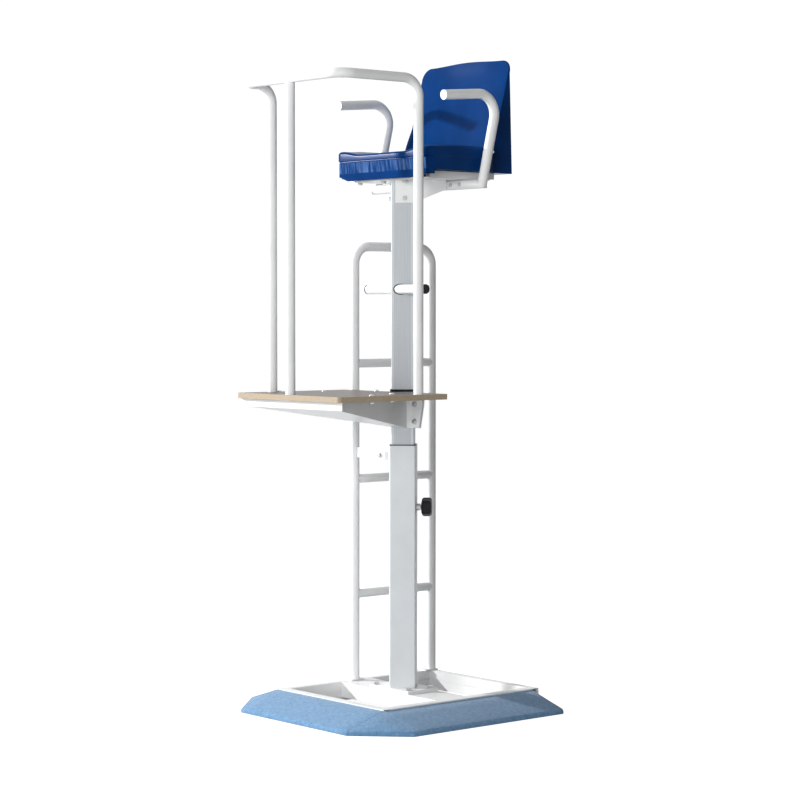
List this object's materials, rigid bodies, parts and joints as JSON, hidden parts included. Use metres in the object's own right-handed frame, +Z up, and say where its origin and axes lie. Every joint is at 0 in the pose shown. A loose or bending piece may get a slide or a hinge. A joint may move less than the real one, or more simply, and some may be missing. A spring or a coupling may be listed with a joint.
{
  "type": "volleyball referee chair",
  "caption": "Volleyball referee chair: a plastic seat and a railed standing platform on a height-adjustable column, with a ladder and a padded base.",
  "frame": {"origin": "on the floor, under the middle of the whole chair's box; the column's axis is 65 mm behind it, at Y 0.065 m", "axes": "+Z up, -Y the front that the referee faces, +X the referee's left, -X the ladder's side"},
  "size_m": [0.86, 0.85, 2.172],
  "materials": {
    "white_paint": "satin white powder coat on steel",
    "grey_paint": "light grey powder coat on steel",
    "aluminium": "brushed, with fine lengthwise ribs",
    "zinc_steel": "zinc plated",
    "black_plastic": "black moulded plastic",
    "felt": "blue felt over foam",
    "plywood": "film-faced plywood with sealed edges",
    "blue_plastic": "glossy blue shell with a fine grain"
  },
  "bodies": {
    "base": {"frame_rail_front": "white_paint", "frame_rail_rear": "white_paint", "frame_rail_left": "white_paint", "frame_rail_right": "white_paint", "frame_beam": "white_paint", "skirt_front": "felt", "skirt_left": "felt", "skirt_right": "felt", "skirt_corner_left": "felt", "skirt_corner_right": "felt", "column_foot": "white_paint", "column_outer": "grey_paint", "column_guide": "black_plastic", "clamp_boss": "zinc_steel", "ladder_upright_front": "white_paint", "ladder_upright_rear": "white_paint", "ladder_bow": "white_paint", "ladder_rung_low": "white_paint", "ladder_rung_middle": "white_paint", "ladder_rung_high": "white_paint", "ladder_feet": "white_paint", "ladder_brace": "white_paint", "brace_block": "white_paint"},
    "mast": {"column_inner": "aluminium", "column_collar": "black_plastic", "deck_board": "plywood", "deck_flange": "white_paint", "deck_cheek_left": "white_paint", "deck_cheek_right": "white_paint", "deck_floor_plate": "white_paint", "deck_rear_clamp": "white_paint", "rail_left": "white_paint", "rail_front": "white_paint", "rail_right": "white_paint", "rail_post": "white_paint", "footrest_bar": "white_paint", "footrest_caps": "black_plastic", "seat_plate": "white_paint", "seat_bracket_left": "white_paint", "seat_bracket_right": "white_paint", "seat_rails": "white_paint", "seat_pan": "blue_plastic", "seat_back": "blue_plastic", "armrest_upright_left": "white_paint", "armrest_upright_right": "white_paint", "armrest_left": "white_paint", "armrest_right": "white_paint", "armrest_foot_left": "white_paint", "armrest_foot_right": "white_paint", "armrest_caps": "white_paint"},
    "knob": {"clamp_screw": "zinc_steel", "clamp_knob": "black_plastic"}
  },
  "joints": [
    {"name": "height_adjust", "type": "slide", "parent": "base", "child": "mast", "axis": [0, 0, 1], "range_m": [-0.04, 0.3]},
    {"name": "knob_turn", "type": "hinge", "parent": "base", "child": "knob", "pos_m": [0.0573, 0.1223, 0.676], "axis": [0.7071, 0.7071, 0], "continuous": true}
  ]
}
